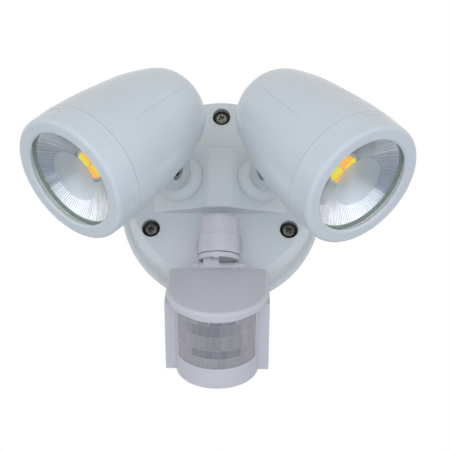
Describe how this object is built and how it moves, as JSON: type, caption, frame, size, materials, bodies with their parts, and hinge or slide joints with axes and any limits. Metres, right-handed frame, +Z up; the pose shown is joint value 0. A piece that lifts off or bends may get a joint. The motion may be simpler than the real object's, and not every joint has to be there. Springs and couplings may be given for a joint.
{
  "type": "motion sensor security light",
  "caption": "Wall-mounted round-base security light with swivelling bullet spot heads and a pan-and-tilt motion sensor below.",
  "frame": {"origin": "centre of the back plate on the wall face", "axes": "+Z up, -Y out from the wall towards the viewer, +X to the right seen from the front"},
  "size_m": [0.248, 0.1896, 0.2215],
  "materials": {
    "white_paint": "satin powder coat, slightly cool white",
    "sensor_plastic": "satin moulded UV-stable plastic",
    "black_rubber": "matt moulded silicone",
    "screw_steel": "stainless, machined",
    "dark_steel": "stainless socket screw",
    "zinc_nut": "zinc plated",
    "nut_nylon": "moulded nylon",
    "brass_screw": "turned brass",
    "driver_plastic": "moulded black, fine texture",
    "terminal_plastic": "moulded white",
    "clear_glass": "toughened, polished",
    "frosted_film": "frosted",
    "mirror_metal": "vacuum-metallised, fine radial flutes",
    "holder_plastic": "moulded, satin",
    "board_aluminium": "white-masked aluminium board",
    "bare_aluminium": "die-cast, raw",
    "warm_phosphor": "orange phosphor gel",
    "cool_phosphor": "yellow phosphor gel",
    "lens_plastic": "translucent Fresnel sheet",
    "board_green": "solder-masked board",
    "can_metal": "nickel-plated can",
    "knob_plastic": "moulded black"
  },
  "bodies": {
    "root": {"back_plate": "white_paint", "wall_gasket": "black_rubber", "cable_grommet": "black_rubber", "front_cover": "white_paint", "cover_seal": "black_rubber", "cover_screws": "screw_steel", "cover_screw_seals": "black_rubber", "driver_case": "driver_plastic", "terminal_block": "terminal_plastic", "terminal_screws": "brass_screw", "earth_screw": "brass_screw", "sensor_stalk": "sensor_plastic", "stalk_nut": "nut_nylon"},
    "left_swivel": {"left_swivel": "white_paint", "left_swivel_oring": "black_rubber", "left_swivel_nut": "zinc_nut"},
    "left_head": {"left_head_shell": "white_paint", "left_bezel": "white_paint", "left_front_glass": "clear_glass", "left_diffuser": "frosted_film", "left_glass_gasket": "black_rubber", "left_reflector": "mirror_metal", "left_led_holder": "holder_plastic", "left_led_board": "board_aluminium", "left_heat_spreader": "bare_aluminium", "left_tilt_bolt": "dark_steel", "left_tilt_nut": "zinc_nut", "left_warm_leds": "warm_phosphor", "left_cool_leds": "cool_phosphor"},
    "right_swivel": {"right_swivel": "white_paint", "right_swivel_oring": "black_rubber", "right_swivel_nut": "zinc_nut"},
    "right_head": {"right_head_shell": "white_paint", "right_bezel": "white_paint", "right_front_glass": "clear_glass", "right_diffuser": "frosted_film", "right_glass_gasket": "black_rubber", "right_reflector": "mirror_metal", "right_led_holder": "holder_plastic", "right_led_board": "board_aluminium", "right_heat_spreader": "bare_aluminium", "right_tilt_bolt": "dark_steel", "right_tilt_nut": "zinc_nut", "right_warm_leds": "warm_phosphor", "right_cool_leds": "cool_phosphor"},
    "sensor_arm": {"pan_collar": "sensor_plastic"},
    "sensor_head": {"rear_case": "sensor_plastic", "front_case": "sensor_plastic", "sensor_hood": "sensor_plastic", "sensor_lens": "lens_plastic", "sensor_board": "board_green", "pir_element": "can_metal", "sensor_screws": "screw_steel", "hinge_pin": "screw_steel"},
    "time_knob": {"time_knob": "knob_plastic"},
    "range_knob": {"range_knob": "knob_plastic"},
    "lux_knob": {"lux_knob": "knob_plastic"}
  },
  "joints": [
    {"name": "left_turn", "type": "hinge", "parent": "root", "child": "left_swivel", "pos_m": [-0.0282, -0.04972, 0.0065], "axis": [-0.3714, -0.9285, 0], "range_deg": [-40, 60]},
    {"name": "left_tilt", "type": "hinge", "parent": "left_swivel", "child": "left_head", "pos_m": [-0.038, -0.07423, 0.0065], "axis": [0.8089, -0.3236, -0.4909], "range_deg": [-45, 35]},
    {"name": "right_turn", "type": "hinge", "parent": "root", "child": "right_swivel", "pos_m": [0.0282, -0.04972, 0.0065], "axis": [0.3714, -0.9285, 0], "range_deg": [-60, 40]},
    {"name": "right_tilt", "type": "hinge", "parent": "right_swivel", "child": "right_head", "pos_m": [0.038, -0.07423, 0.0065], "axis": [0.8373, 0.3349, 0.4321], "range_deg": [-45, 35]},
    {"name": "sensor_pan", "type": "hinge", "parent": "root", "child": "sensor_arm", "pos_m": [0, -0.066, -0.054], "axis": [0, 0, 1], "range_deg": [-35, 35]},
    {"name": "sensor_tilt", "type": "hinge", "parent": "sensor_arm", "child": "sensor_head", "pos_m": [0, -0.066, -0.0634], "axis": [1, 0, 0], "range_deg": [-42, 28]},
    {"name": "time_knob_turn", "type": "hinge", "parent": "sensor_head", "child": "time_knob", "pos_m": [-0.017, -0.04614, -0.11415], "axis": [0, -0.6691, 0.7431], "range_deg": [-135, 135]},
    {"name": "range_knob_turn", "type": "hinge", "parent": "sensor_head", "child": "range_knob", "pos_m": [0, -0.04614, -0.11415], "axis": [0, -0.6691, 0.7431], "range_deg": [-135, 135]},
    {"name": "lux_knob_turn", "type": "hinge", "parent": "sensor_head", "child": "lux_knob", "pos_m": [0.017, -0.04614, -0.11415], "axis": [0, -0.6691, 0.7431], "range_deg": [-135, 135]}
  ]
}
